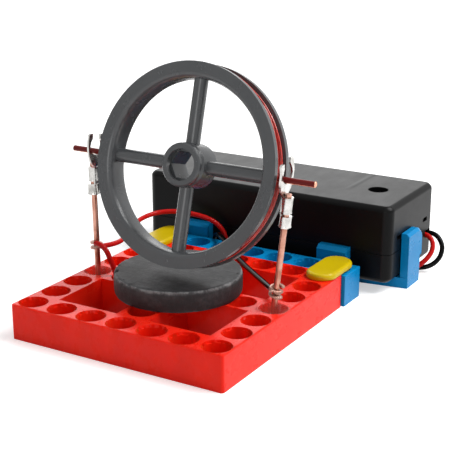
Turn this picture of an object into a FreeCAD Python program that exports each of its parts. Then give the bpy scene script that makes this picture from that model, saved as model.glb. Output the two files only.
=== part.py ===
import FreeCAD, Part
import Sketcher
import math
import os

# Demonstration electric motor: a wound wheel turns on two wire posts above a disc magnet.
# Frame: origin in the middle of the red base's underside, X along the axle, Y back, Z up.

V = FreeCAD.Vector
doc = FreeCAD.newDocument("demonstration_motor")
sheet = doc.addObject("Spreadsheet::Sheet", "sizes")
nodes = []


class Size:
    """A length or count that knows its value and the sheet expression that gives it."""

    def __init__(self, value, text):
        self.value = float(value)
        self.text = text

    def __add__(self, other):
        other = as_size(other)
        return Size(self.value + other.value, "(%s + %s)" % (self.text, other.text))

    def __sub__(self, other):
        other = as_size(other)
        return Size(self.value - other.value, "(%s - %s)" % (self.text, other.text))

    def __mul__(self, other):
        other = as_size(other)
        return Size(self.value * other.value, "(%s * %s)" % (self.text, other.text))

    def __truediv__(self, other):
        other = as_size(other)
        return Size(self.value / other.value, "(%s / %s)" % (self.text, other.text))

    def __radd__(self, other):
        return as_size(other) + self

    def __rsub__(self, other):
        return as_size(other) - self

    def __rmul__(self, other):
        return as_size(other) * self

    def __neg__(self):
        return as_size(0) - self


def as_size(number):
    """A plain number as a Size, so that both can stand in one sum."""
    if isinstance(number, Size):
        return number
    return Size(number, "%.6f" % number)


def size(name, value, words):
    """One row of the sheet: its name, its value and what it measures."""
    row = size.rows + 1
    size.rows = row
    sheet.set("A%d" % row, words)
    sheet.set("B%d" % row, str(value))
    sheet.setAlias("B%d" % row, name)
    return Size(value, "sizes." + name)


size.rows = 0

# Sizes of the base plate
pitch = size("pitch", 10.0, "distance between grid holes")
grid_count = 7
grid_middle = 3
plate_margin = size("plate_margin", 4.5, "outer hole row to the plate's side")
plate_height = size("plate_height", 10.4, "height of the red plate")
plate_corner = size("plate_corner", 0.8, "radius of the plate's upright edges")
plate_edge = size("plate_edge", 0.4, "radius round the plate's top")
hole_diameter = size("hole_diameter", 7.6, "grid hole")
plate_half = pitch * grid_middle + plate_margin

# Sizes of the bracket that joins the battery box to the plate
bar_gap = size("bar_gap", 0.4, "gap between plate and bracket bar")
bar_height = size("bar_height", 9.8, "height of the bracket bar")
bar_end_margin = size("bar_end_margin", 5.3, "last bar hole to the bar's end")
bar_back_margin = size("bar_back_margin", 5.5, "bar hole row to the bar's back")
tab_gap = size("tab_gap", 0.9, "slot between the bar and a tab above its root")
tab_thickness = size("tab_thickness", 3.4, "tab that stops the box")
tab_width = size("tab_width", 10.0, "width of a tab")
tab_height = size("tab_height", 13.8, "top of a tab")
tab_bevel = size("tab_bevel", 1.2, "lead-in bevel of a tab")
tab_root = size("tab_root", 6.5, "height at which a tab joins the bar")
floor_height = size("floor_height", 3.4, "strips under the box")
spine_width = size("spine_width", 16.0, "middle strip under the box")
arm_front = size("arm_front", 8.8, "box front to the arm's front at its ends")
arm_lean = size("arm_lean", 2.3, "how far the arm's front runs forward of its ends")
arm_depth = size("arm_depth", 9.6, "arm from front to back at its ends")
upright_thickness = size("upright_thickness", 2.6, "upright beside the box")
upright_gap = size("upright_gap", 0.2, "gap between the box and an upright")
upright_step = size("upright_step", 8.5, "height where an upright widens")
upright_height = size("upright_height", 17.8, "top of an upright")
upright_overhang = size("upright_overhang", 2.2, "how far the wide head stands back")
upright_corner = size("upright_corner", 4.0, "round corner of the head")
upright_bevel = size("upright_bevel", 0.9, "bevel along the head's outer top edge")
channel_height = size("channel_height", 2.2, "lead channel under the arm")
channel_width = size("channel_width", 14.0, "width of that channel")
channel_place = size("channel_place", 18.0, "channel from the middle, to the left")

# Sizes of the battery box
box_length = size("box_length", 88.6, "battery box, left to right")
box_shift = size("box_shift", 1.3, "box middle from the plate's middle, to the left")
box_depth = size("box_depth", 36.0, "battery box, front to back")
box_height = size("box_height", 24.6, "battery box, bottom to top")
case_height = size("case_height", 9.4, "lower shell")
box_wall = size("box_wall", 1.8, "wall of both shells")
box_corner = size("box_corner", 3.0, "radius of the upright corners")
box_edge = size("box_edge", 1.2, "bevel along the bottom and the top")
bay_length = size("bay_length", 54.4, "room for the cells and contacts, left to right")
partition_wall = size("partition_wall", 1.5, "wall between cells and compartment")
partition_height = size("partition_height", 15.0, "height of that wall")
saddle_thickness = size("saddle_thickness", 1.5, "rib that carries the cells")
saddle_height = size("saddle_height", 4.2, "height of such a rib")
saddle_inset = size("saddle_inset", 10.9, "end of the bay to such a rib")
notch_width = size("notch_width", 4.6, "lead outlet, front to back")
notch_height = size("notch_height", 2.4, "lead outlet, height")
notch_place = size("notch_place", 31.7, "box front to the outlet's middle")
screw_place_x = size("screw_place_x", 12.0, "screw from the box's right end")
screw_place_y = size("screw_place_y", 17.7, "screw from the box's front")
recess_diameter = size("recess_diameter", 6.5, "round recess over the screw")
recess_floor = size("recess_floor", 8.0, "recess floor above the parting")
post_wall = size("post_wall", 1.5, "wall of the screw post")
boss_height = size("boss_height", 7.3, "boss under the post")
latch_width = size("latch_width", 3.4, "latch slot, front to back")
latch_height = size("latch_height", 1.3, "latch slot, height")
latch_depth = size("latch_depth", 0.9, "latch slot, depth")
latch_inset = size("latch_inset", 5.6, "box front and back to a latch slot")
latch_rise = size("latch_rise", 3.6, "parting to a latch slot")

# Sizes of the cells and their contacts
cell_diameter = size("cell_diameter", 14.5, "cell")
cell_can = size("cell_can", 49.5, "cell without its nub")
nub_diameter = size("nub_diameter", 5.5, "cell's nub")
nub_length = size("nub_length", 1.0, "length of the nub")
cell_spacing = size("cell_spacing", 15.8, "cell to cell")
seat_gap = size("seat_gap", 0.3, "clearance of curved seats")
sheet_thickness = size("sheet_thickness", 0.4, "contact plate")
contact_width = size("contact_width", 9.0, "contact plate of one cell, width")
contact_height = size("contact_height", 11.0, "contact plate, height")
spring_diameter = size("spring_diameter", 6.6, "contact spring over its turns")
spring_wire = size("spring_wire", 0.7, "wire of a contact spring")
spring_turns = 2

# Sizes of the pins, plugs, posts and terminals
pin_width = size("pin_width", 9.4, "oblong head of a locking pin, width")
pin_head = size("pin_head", 2.0, "thickness of that head")
pin_edge = size("pin_edge", 0.6, "bevel round that head")
fit_gap = size("fit_gap", 0.1, "radial clearance of pegs and stems")
peg_length = size("peg_length", 8.2, "length of a peg")
flange_diameter = size("flange_diameter", 9.8, "flange of a clear plug")
flange_height = size("flange_height", 0.8, "thickness of that flange")
dome_height = size("dome_height", 1.5, "dome of a plug above its flange")
stem_length = size("stem_length", 9.0, "plug's stem in the grid hole")
plug_play = size("plug_play", 0.65, "how much wider a plug is where its post leans")
rod_diameter = size("rod_diameter", 1.7, "copper post")
rod_foot = size("rod_foot", 3.0, "foot of a post above the table")
rod_bend_rise = size("rod_bend_rise", 9.6, "where a post starts to lean")
rod_bend_radius = size("rod_bend_radius", 8.0, "radius of that bend")
lean_right = size("lean_right", 7.0, "lean of the right post, degrees")
lean_left = size("lean_left", 1.0, "lean of the left post, degrees")
axle_height = size("axle_height", 47.44, "axle above the table")
axle_diameter = size("axle_diameter", 1.7, "axle stub")
shaft_gap = size("shaft_gap", 0.05, "radial clearance of a shaft in its hole")
terminal_sheet = size("terminal_sheet", 0.6, "sheet of a terminal")
crimp_wall = size("crimp_wall", 0.7, "wall of a terminal's crimps")
collar_wall = size("collar_wall", 0.95, "wall of the wide crimp")
tongue_width = size("tongue_width", 7.0, "fork of a terminal, over its tines")
tongue_rise = size("tongue_rise", 4.9, "tine tips above the axle")
seat_diameter = size("seat_diameter", 5.2, "round seat in the fork")
seat_play = size("seat_play", 0.1, "axle over the bottom of its seat")
slot_width = size("slot_width", 3.4, "slot above the seat")
neck_width = size("neck_width", 2.4, "neck under the fork")
shoulder_width = size("shoulder_width", 5.6, "fork under its seat")
crimp_top = size("crimp_top", 4.4, "axle down to the conductor crimp")
crimp_length = size("crimp_length", 4.6, "conductor crimp")
collar_gap = size("collar_gap", 0.8, "gap between the two crimps")
collar_length = size("collar_length", 3.2, "wide crimp at the bottom")
rod_above_crimp = size("rod_above_crimp", 0.7, "end of a post above its crimp")

# Sizes of the wheel, its winding and the axle
wheel_shift = size("wheel_shift", 3.21, "wheel middle from the plate's middle, to the right")
wheel_turn = size("wheel_turn", 74.4, "wheel at rest, degrees from flat about the axle")
wheel_radius = size("wheel_radius", 28.6, "wheel over its flanges")
wheel_width = size("wheel_width", 8.0, "width of the rim")
groove_radius = size("groove_radius", 25.6, "bottom of the rim groove")
groove_width = size("groove_width", 4.8, "width of the groove")
rim_face_radius = size("rim_face_radius", 24.76, "inside of the rim at its faces")
rim_inner_radius = size("rim_inner_radius", 24.0, "inside of the rim at its middle")
spoke_diameter = size("spoke_diameter", 4.0, "round spoke")
spoke_count = 4
hub_radius = size("hub_radius", 6.3, "hub")
hub_back = size("hub_back", 4.5, "hub behind the spokes' middle")
hub_front = size("hub_front", 3.2, "hub before the spokes' middle")
collar_radius = size("collar_radius", 6.1, "collar on the hub's front")
collar_front = size("collar_front", 5.2, "front of the collar")
collar_groove = size("collar_groove", 0.25, "groove between hub and collar")
hub_edge = size("hub_edge", 0.4, "round of the hub's ends")
socket_radius = size("socket_radius", 4.45, "round socket in the hub's front")
socket_depth = size("socket_depth", 2.2, "depth of that socket")
hexagon_flats = size("hexagon_flats", 7.4, "six-sided bore, across flats")
core_radius = size("core_radius", 26.5, "inner layers of the winding, over the wire")
winding_wire = size("winding_wire", 0.45, "winding wire, over its enamel")
winding_turns = 2.5
stub_in_spoke = size("stub_in_spoke", 3.2, "axle stub inside the rim's inner face")
stub_left_end = size("stub_left_end", 37.1, "left end of the axle from the plate's middle")
stub_right_end = size("stub_right_end", 42.1, "right end of the axle from the plate's middle")

# Sizes of the magnet and the leads
magnet_diameter = size("magnet_diameter", 36.9, "disc magnet")
magnet_height = size("magnet_height", 6.3, "thickness of the magnet")
magnet_edge = size("magnet_edge", 0.7, "chamfer of the magnet")
magnet_shift_x = size("magnet_shift_x", -0.2, "magnet middle, to the right")
magnet_shift_y = size("magnet_shift_y", -1.5, "magnet middle, back")
lead_diameter = size("lead_diameter", 1.6, "insulated lead")
strand_diameter = size("strand_diameter", 1.1, "bare twisted strands of a lead")
bend_step = size("bend_step", 15.0, "degrees a slim tube turns at one of its small mitres")
winding_step = size("winding_step", 8.0, "the same for the winding")
coil_step = size("coil_step", 24.0, "the same for tight coils")
lead_sides = 6
wire_sides = 6
bend_share = 0.45
gap_samples = 700

doc.recompute()

# Places that several pieces share
bar_front = plate_half + bar_gap
bar_row = pitch * 4
bar_back = bar_row + bar_back_margin
box_front = bar_back + tab_gap + tab_thickness
box_back = box_front + box_depth
box_middle_y = box_front + box_depth / 2
box_left = -box_shift - box_length / 2
box_right = box_length / 2 - box_shift
parting = floor_height + case_height
box_top = floor_height + box_height
arm_y = box_front + arm_front
partition_x = box_left + box_wall + bay_length
screw_x = box_right - screw_place_x
screw_y = box_front + screw_place_y
cell_height = floor_height + box_wall + cell_diameter / 2 + seat_gap
post_x = pitch * 3
peg_diameter = hole_diameter - fit_gap * 2
groove_half = groove_width / 2


def origin_plane(body, role):
    """One of the body's own origin planes or axes."""
    return [part for part in body.Origin.OriginFeatures if part.Role == role][0]


def new_body(label):
    """A body that becomes one sub-part."""
    body = doc.addObject("PartDesign::Body", label)
    body.Label = label
    nodes.append(body)
    return body


def new_sketch(body, name, role="XY_Plane", offset=None):
    """A sketch on one of the body's origin planes, moved along that plane's normal."""
    sketch = body.newObject("Sketcher::SketchObject", body.Label + "_" + name)
    sketch.AttachmentSupport = [(origin_plane(body, role), "")]
    sketch.MapMode = "FlatFace"
    if offset is not None:
        sketch.setExpression("AttachmentOffset.Base.z", offset.text)
    return sketch


def bind(sketch, kind, first, amount):
    """One dimension of a sketch, bound to the sheet."""
    amount = as_size(amount)
    constraint = sketch.addConstraint(Sketcher.Constraint(kind, *first, amount.value))
    name = "dimension%d" % constraint
    sketch.renameConstraint(constraint, name)
    sketch.setExpression("Constraints." + name, amount.text)


def outline(sketch, points):
    """A closed outline of straight lines through points, each bound to the sheet."""
    points = [(as_size(a), as_size(b)) for a, b in points]
    start = sketch.GeometryCount
    count = len(points)
    for number, (a, b) in enumerate(points):
        c, d = points[(number + 1) % count]
        line = Part.LineSegment(V(a.value, b.value, 0), V(c.value, d.value, 0))
        sketch.addGeometry(line, False)
    for number in range(count):
        following = start + (number + 1) % count
        sketch.addConstraint(Sketcher.Constraint("Coincident", start + number, 2, following, 1))
    for number, (a, b) in enumerate(points):
        bind(sketch, "DistanceX", (-1, 1, start + number, 1), a)
        bind(sketch, "DistanceY", (-1, 1, start + number, 1), b)


def rectangle(sketch, left, right, low, high):
    """A closed rectangle between four bound places."""
    outline(sketch, [(left, low), (right, low), (right, high), (left, high)])


def circle(sketch, x, y, radius):
    """A circle at a bound place with a bound radius."""
    x, y, radius = as_size(x), as_size(y), as_size(radius)
    round_edge = Part.Circle(V(x.value, y.value, 0), V(0, 0, 1), radius.value)
    number = sketch.addGeometry(round_edge, False)
    bind(sketch, "DistanceX", (-1, 1, number, 3), x)
    bind(sketch, "DistanceY", (-1, 1, number, 3), y)
    bind(sketch, "Radius", (number,), radius)


def pad(body, sketch, length, both_ways=False, reverse=False):
    """Material added from a sketch."""
    feature = body.newObject("PartDesign::Pad", sketch.Name + "_pad")
    feature.Profile = sketch
    feature.setExpression("Length", as_size(length).text)
    feature.Reversed = reverse
    feature.Midplane = both_ways
    doc.recompute()
    return feature


def cut(body, sketch, length, reverse=False, both_ways=False):
    """Material taken away from a sketch; the volume has to shrink."""
    before = body.Shape.Volume
    feature = body.newObject("PartDesign::Pocket", sketch.Name + "_cut")
    feature.Profile = sketch
    feature.setExpression("Length", as_size(length).text)
    feature.Reversed = reverse
    feature.Midplane = both_ways
    doc.recompute()
    if not body.Shape.Volume < before:
        raise ValueError(feature.Name + " cuts nothing")
    return feature


def turn(body, sketch):
    """A full turn of a sketch about its own vertical axis."""
    feature = body.newObject("PartDesign::Revolution", sketch.Name + "_turn")
    feature.Profile = sketch
    feature.ReferenceAxis = (sketch, ["V_Axis"])
    feature.Angle = 360
    doc.recompute()
    return feature


def edges_where(body, test):
    """Names of the body's edges whose middle and direction pass a test."""
    names = []
    for number, edge in enumerate(body.Shape.Edges):
        middle = edge.valueAt((edge.FirstParameter + edge.LastParameter) / 2)
        along = edge.tangentAt((edge.FirstParameter + edge.LastParameter) / 2)
        if test(middle, along):
            names.append("Edge%d" % (number + 1))
    if not names:
        raise ValueError(body.Label + " has no such edge")
    return names


def soften(body, kind, amount, test):
    """A fillet or chamfer on the edges that pass a test."""
    names = edges_where(body, test)
    feature = body.newObject("PartDesign::" + kind, body.Label + "_" + kind)
    feature.Base = (body.Tip if body.Tip is not feature else feature.BaseFeature, names)
    feature.setExpression("Radius" if kind == "Fillet" else "Size", as_size(amount).text)
    doc.recompute()
    return feature


def near(a, b):
    """Two lengths that are the same but for rounding."""
    return abs(a - as_size(b).value) < 0.001


def place(body, x=0, y=0, z=0):
    """The body's place, bound to the sheet."""
    for key, amount in (("x", x), ("y", y), ("z", z)):
        body.setExpression("Placement.Base." + key, as_size(amount).text)
    doc.recompute()


# Red base plate: a square block with a grid of round holes and four square windows
def make_base_plate():
    body = new_body("base_plate")
    block = new_sketch(body, "block")
    rectangle(block, -plate_half, plate_half, -plate_half, plate_half)
    pad(body, block, plate_height)
    soften(body, "Fillet", plate_corner, lambda point, along: abs(along.z) > 0.9)
    soften(body, "Fillet", plate_edge, lambda point, along: near(point.z, plate_height))
    holes = new_sketch(body, "holes")
    for column in range(grid_count):
        circle(holes, pitch * (column - grid_middle), pitch * -grid_middle, hole_diameter / 2)
    row = cut(body, holes, plate_height, reverse=True)
    rows = body.newObject("PartDesign::LinearPattern", "hole_rows")
    rows.Originals = [row]
    rows.Direction = (origin_plane(body, "Y_Axis"), [""])
    rows.setExpression("Length", (pitch * (grid_count - 1)).text)
    rows.Occurrences = grid_count
    body.Tip = rows
    doc.recompute()
    windows = new_sketch(body, "windows")
    for side_x in (-1, 1):
        for side_y in (-1, 1):
            xs = sorted((pitch * (0.5 * side_x), pitch * (2.5 * side_x)), key=lambda s: s.value)
            ys = sorted((pitch * (0.5 * side_y), pitch * (2.5 * side_y)), key=lambda s: s.value)
            rectangle(windows, xs[0], xs[1], ys[0], ys[1])
    cut(body, windows, plate_height, reverse=True)


# Blue bracket: a bar of holes, tabs before the box, a strip and an arm under it, an upright at each end
def make_bracket():
    body = new_body("battery_bracket")
    bar = new_sketch(body, "bar")
    bar_half = pitch * 3 + bar_end_margin
    rectangle(bar, -bar_half, bar_half, bar_front, bar_back)
    pad(body, bar, bar_height)
    spine = new_sketch(body, "spine")
    rectangle(spine, -spine_width / 2, spine_width / 2, bar_back, arm_y)
    pad(body, spine, floor_height)
    left = box_left - upright_gap - upright_thickness
    right = box_right + upright_gap + upright_thickness
    arm = new_sketch(body, "arm")
    arm_back = arm_y + arm_depth
    shoulder = pitch * 3
    outline(arm, [
        (left, arm_y), (-shoulder, arm_y - arm_lean), (shoulder, arm_y - arm_lean),
        (right, arm_y), (right, arm_back), (left, arm_back),
    ])
    pad(body, arm, floor_height)
    tabs = new_sketch(body, "tabs", "YZ_Plane", pitch * 2.5)
    face = box_front - tab_thickness
    outline(tabs, [
        (bar_back, 0), (box_front, 0), (box_front, tab_height),
        (face + tab_bevel, tab_height), (face, tab_height - tab_bevel),
        (face, tab_root), (bar_back, tab_root),
    ])
    first = pad(body, tabs, tab_width, both_ways=True)
    mirror_across(body, [first])
    for side, inner in ((-1, left), (1, box_right + upright_gap)):
        upright = new_sketch(body, "upright_left" if side < 0 else "upright_right", "YZ_Plane", inner)
        head_back = arm_back + upright_overhang
        outline(upright, [
            (arm_y, 0), (arm_back, 0), (arm_back, upright_step),
            (head_back, upright_step), (head_back, upright_height), (arm_y, upright_height),
        ])
        pad(body, upright, upright_thickness)
        middle_x = inner.value + upright_thickness.value / 2
        soften(body, "Fillet", upright_corner, lambda point, along: (
            abs(along.x) > 0.9 and near(point.z, upright_height)
            and near(point.y, head_back) and abs(point.x - middle_x) < 1))
    soften(body, "Chamfer", upright_bevel, lambda point, along: (
        abs(along.y) > 0.9 and near(point.z, upright_height)
        and (near(point.x, left) or near(point.x, right))))
    soften(body, "Fillet", plate_edge, lambda point, along: (
        near(point.z, bar_height) and point.y < bar_back.value + 0.1))
    holes = new_sketch(body, "holes")
    for column in range(grid_count):
        circle(holes, pitch * (column - grid_middle), bar_row, hole_diameter / 2)
    cut(body, holes, bar_height, reverse=True)
    channel = new_sketch(body, "channel")
    middle = -channel_place
    rectangle(channel, middle - channel_width / 2, middle + channel_width / 2,
              arm_y - arm_lean * 2, arm_back + arm_lean)
    cut(body, channel, channel_height, reverse=True)


def mirror_across(body, features):
    """Features repeated on the other side of the middle plane."""
    feature = body.newObject("PartDesign::Mirrored", body.Label + "_mirrored")
    feature.Originals = features
    feature.MirrorPlane = (origin_plane(body, "YZ_Plane"), [""])
    body.Tip = feature
    doc.recompute()


# Yellow locking pins: an oblong head with two pegs that join a plate hole to a bar hole
def make_locking_pin(label, side):
    body = new_body(label)
    reach = (bar_row - pitch * 3) / 2
    head = new_sketch(body, "head")
    rectangle(head, -pin_width / 2, pin_width / 2, -reach, reach)
    pad(body, head, pin_head)
    for name, middle in (("front", -reach), ("back", reach)):
        end = new_sketch(body, name + "_end")
        circle(end, 0, middle, pin_width / 2)
        pad(body, end, pin_head)
    soften(body, "Chamfer", pin_edge, lambda point, along: near(point.z, pin_head))
    for name, middle in (("front", -reach), ("back", reach)):
        peg = new_sketch(body, name + "_peg")
        circle(peg, 0, middle, peg_diameter / 2)
        pad(body, peg, peg_length, reverse=True)
    place(body, pitch * 3 * side, pitch * 3 + reach, plate_height)


# Clear plugs: a flanged dome on a stem, with a bore that widens at the top for the leaning post
def make_post_plug(label, side):
    body = new_body(label)
    profile = new_sketch(body, "profile", "XZ_Plane")
    bore = rod_diameter / 2 + shaft_gap
    dome = flange_height + dome_height
    widening = rod_bend_rise - plate_height - rod_diameter / 2
    outline(profile, [
        (bore, -stem_length), (peg_diameter / 2, -stem_length), (peg_diameter / 2, 0),
        (flange_diameter / 2, 0), (flange_diameter / 2, flange_height),
        (flange_diameter / 2 - dome_height * 2, dome), (bore + plug_play, dome),
        (bore + plug_play, widening), (bore, widening),
    ])
    turn(body, profile)
    place(body, post_x * side, 0, plate_height)


# Copper posts: each stands upright in its plug and then leans outward to its terminal
def post_line(side):
    """The bend point of a post and the direction of its leaning part."""
    lean = math.radians((lean_right if side > 0 else lean_left).value)
    bend = V(post_x.value * side, 0, rod_bend_rise.value)
    return bend, V(math.sin(lean) * side, 0, math.cos(lean))


def make_post_rod(label, side):
    bend, along = post_line(side)
    reach = (axle_height.value - bend.z - crimp_top.value + rod_above_crimp.value) / along.z
    foot = V(bend.x, 0, rod_foot.value)
    points = [foot, bend, bend + along * reach]
    path = path_wire(points, rod_bend_radius.value)
    start = Part.Wire([Part.Circle(foot, V(0, 0, 1), rod_diameter.value / 2).toShape()])
    add_shape(label, path.makePipeShell([start], True, False))


def add_shape(label, shape):
    """A sub-part whose shape is worked out in code."""
    feature = doc.addObject("Part::Feature", label)
    feature.Label = label
    feature.Shape = shape
    feature.Placement = FreeCAD.Placement()
    nodes.append(feature)
    return feature


def path_wire(points, radius=None, label=None):
    """Straight runs joined by tangent arcs, each as large as its two runs allow."""
    edges = []
    start = points[0]
    radii = []
    for before, point, after in zip(points, points[1:], points[2:]):
        arriving, leaving = point - before, after - point
        room = bend_share * min(arriving.Length, leaving.Length)
        arriving.normalize()
        leaving.normalize()
        half = math.acos(max(-1, min(1, arriving.dot(leaving)))) / 2
        size_here = room / math.tan(half) if radius is None else radius
        reach = size_here * math.tan(half)
        radii.append(size_here)
        enter, leave = point - arriving * reach, point + leaving * reach
        inward = leaving - arriving
        inward.normalize()
        middle = point + inward * (size_here / math.cos(half) - size_here)
        edges.append(Part.LineSegment(start, enter).toShape())
        edges.append(Part.Arc(enter, middle, leave).toShape())
        start = leave
    edges.append(Part.LineSegment(start, points[-1]).toShape())
    if label:
        print(label, "radii", " ".join("%.1f" % value for value in radii))
    return Part.Wire(edges)


def bend_points(path, bend_step):
    """Points along a path, close enough that it turns by no more than a step between two of them."""
    points = []
    for edge in path.Edges:
        first, last = edge.FirstParameter, edge.LastParameter
        turned = edge.tangentAt(first).getAngle(edge.tangentAt(last))
        count = max(1, math.ceil(turned / math.radians(bend_step.value)))
        for number in range(count):
            points.append(edge.valueAt(first + (last - first) * number / count))
    points.append(edge.valueAt(last))
    return points


def tube(path, diameter, sides, bend_step):
    """A slim tube with flat sides, mitred where its path bends, of the round tube's section."""
    points = bend_points(path, bend_step)
    section = math.pi * diameter * diameter / 4
    corner = math.sqrt(2 * section / (sides * math.sin(2 * math.pi / sides)))
    along = (points[1] - points[0]).normalize()
    aside = along.cross(V(0, 0, 1) if abs(along.z) < 0.9 else V(1, 0, 0)).normalize()
    upward = aside.cross(along)
    ring = []
    for number in range(sides):
        angle = 2 * math.pi * number / sides
        ring.append(points[0] + aside * (corner * math.cos(angle)) + upward * (corner * math.sin(angle)))
    faces = [Part.Face(Part.makePolygon(ring + ring[:1]))]
    for number in range(1, len(points)):
        along = (points[number] - points[number - 1]).normalize()
        normal = along
        if number + 1 < len(points):
            normal = (along + (points[number + 1] - points[number]).normalize()).normalize()
        moved = []
        for spot in ring:
            moved.append(spot + along * ((points[number] - spot).dot(normal) / along.dot(normal)))
        for here in range(sides):
            there = (here + 1) % sides
            corners = [ring[here], ring[there], moved[there], moved[here], ring[here]]
            faces.append(Part.Face(Part.makePolygon(corners)))
        ring = moved
    faces.append(Part.Face(Part.makePolygon(ring + ring[:1])))
    solid = Part.Solid(Part.Shell(faces))
    if solid.Volume < 0:
        solid.reverse()
    print("tube volume over section times length: %.4f" % (solid.Volume / (section * path.Length)))
    return solid


# Fork terminals: tinned sheet, a keyhole fork above a conductor crimp and a wide lower crimp
def make_fork_terminal(label, side):
    body = new_body(label)
    lean = (lean_right if side > 0 else lean_left)
    bore = rod_diameter / 2 + shaft_gap
    inner_face = -bore - crimp_wall + shaft_gap
    tongue = new_sketch(body, "tongue", "YZ_Plane", inner_face)
    half, neck, shoulder = tongue_width / 2, neck_width / 2, shoulder_width / 2
    seat_rise = seat_diameter / 2 - axle_diameter / 2 - seat_play
    outline(tongue, [
        (neck, -crimp_top - crimp_length / 2), (neck, -crimp_top), (shoulder, -seat_diameter / 2),
        (half, -axle_diameter / 4), (half, tongue_rise - axle_diameter / 4),
        (half - axle_diameter / 4, tongue_rise),
        (-half + axle_diameter / 4, tongue_rise), (-half, tongue_rise - axle_diameter / 4),
        (-half, -axle_diameter / 4), (-shoulder, -seat_diameter / 2), (-neck, -crimp_top),
        (-neck, -crimp_top - crimp_length / 2),
    ])
    pad(body, tongue, terminal_sheet)
    soften(body, "Fillet", axle_diameter / 2, lambda point, along: (
        abs(along.x) > 0.9 and near(point.z, -crimp_top)))
    seat = new_sketch(body, "seat", "YZ_Plane", inner_face)
    circle(seat, 0, seat_rise, seat_diameter / 2)
    cut(body, seat, terminal_sheet, reverse=True)
    slot = new_sketch(body, "slot", "YZ_Plane", inner_face)
    rectangle(slot, -slot_width / 2, slot_width / 2, seat_rise, tongue_rise + terminal_sheet)
    cut(body, slot, terminal_sheet, reverse=True)
    low = -crimp_top - crimp_length - collar_gap - collar_length
    link = new_sketch(body, "link", offset=low)
    rectangle(link, inner_face, inner_face + terminal_sheet, -neck, neck)
    pad(body, link, collar_length + collar_gap + crimp_length)
    for name, start, length, wall in (
            ("conductor", -crimp_top - crimp_length, crimp_length, crimp_wall),
            ("collar", low, collar_length, collar_wall)):
        ring = new_sketch(body, name, offset=start)
        circle(ring, 0, 0, bore + wall)
        circle(ring, 0, 0, bore)
        pad(body, ring, length)
    bend, along = post_line(side)
    tongue_offset = -(inner_face + terminal_sheet / 2).value
    drop = tongue_offset * math.tan(math.radians(lean.value))
    reach = (axle_height.value - bend.z) / along.z - drop
    turned = FreeCAD.Rotation(V(0, 1, 0), lean.value * side)
    if side < 0:
        turned = turned * FreeCAD.Rotation(V(0, 0, 1), 180)
    body.Placement = FreeCAD.Placement(bend + along * reach, turned)


# Pulley wheel: hub with a shaped bore, four round spokes and a rim with a deep groove
def wheel_placement():
    """Where the wheel's own frame stands at rest: its X is the axle."""
    turned = FreeCAD.Rotation(V(1, 0, 0), wheel_turn.value)
    return FreeCAD.Placement(V(wheel_shift.value, 0, axle_height.value), turned)


def make_wheel():
    body = new_body("pulley_wheel")
    hub = new_sketch(body, "hub", "XZ_Plane")
    groove_low, groove_high = hub_front, hub_front + collar_groove
    outline(hub, [
        (0, -hub_back), (hub_radius - hub_edge, -hub_back), (hub_radius, hub_edge - hub_back),
        (hub_radius, groove_low - hub_edge), (hub_radius - hub_edge, groove_low),
        (collar_radius - hub_edge, groove_high), (collar_radius, groove_high + hub_edge),
        (collar_radius, collar_front - hub_edge), (collar_radius - hub_edge, collar_front),
        (0, collar_front),
    ])
    turn(body, hub)
    spoke = new_sketch(body, "spoke", "YZ_Plane", hub_radius / 2)
    circle(spoke, 0, 0, spoke_diameter / 2)
    arm = pad(body, spoke, rim_face_radius - hub_radius / 2)
    spokes = body.newObject("PartDesign::PolarPattern", "spokes")
    spokes.Originals = [arm]
    spokes.Axis = (origin_plane(body, "Z_Axis"), [""])
    spokes.Angle = 360
    spokes.Occurrences = spoke_count
    body.Tip = spokes
    doc.recompute()
    rim = new_sketch(body, "rim", "XZ_Plane")
    half = wheel_width / 2
    outline(rim, [
        (rim_inner_radius, -half / 2), (rim_face_radius, -half),
        (wheel_radius, -half), (wheel_radius, -groove_half), (groove_radius, -groove_half),
        (groove_radius, groove_half), (wheel_radius, groove_half), (wheel_radius, half),
        (rim_face_radius, half), (rim_inner_radius, half / 2),
    ])
    turn(body, rim)
    socket = new_sketch(body, "socket", offset=collar_front)
    circle(socket, 0, 0, socket_radius)
    cut(body, socket, socket_depth)
    bore = new_sketch(body, "bore", offset=collar_front)
    corner = hexagon_flats / math.sqrt(3)
    corners = []
    for number in range(6):
        angle = math.radians(60 * number)
        corners.append((corner * math.cos(angle), corner * math.sin(angle)))
    outline(bore, corners)
    cut(body, bore, collar_front + hub_back)
    for name, side in (("left", -1), ("right", 1)):
        start = (rim_face_radius - stub_in_spoke) * side
        hole = new_sketch(body, "hole_" + name, "YZ_Plane", start)
        circle(hole, 0, 0, axle_diameter / 2 + shaft_gap)
        cut(body, hole, wheel_radius - rim_face_radius + stub_in_spoke, reverse=side > 0)
    body.Placement = wheel_placement()


# Inner layers of the winding: a plain ring under the outer turns, drilled for the axle stubs
def make_coil_core():
    body = new_body("coil_core")
    ring = new_sketch(body, "ring", "XZ_Plane")
    reach = groove_half - shaft_gap
    rectangle(ring, groove_radius + shaft_gap, core_radius, -reach, reach)
    turn(body, ring)
    hole = new_sketch(body, "stub_hole", "YZ_Plane")
    circle(hole, 0, 0, axle_diameter / 2 + shaft_gap)
    cut(body, hole, wheel_radius * 2, both_ways=True)
    body.Placement = wheel_placement()


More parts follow.
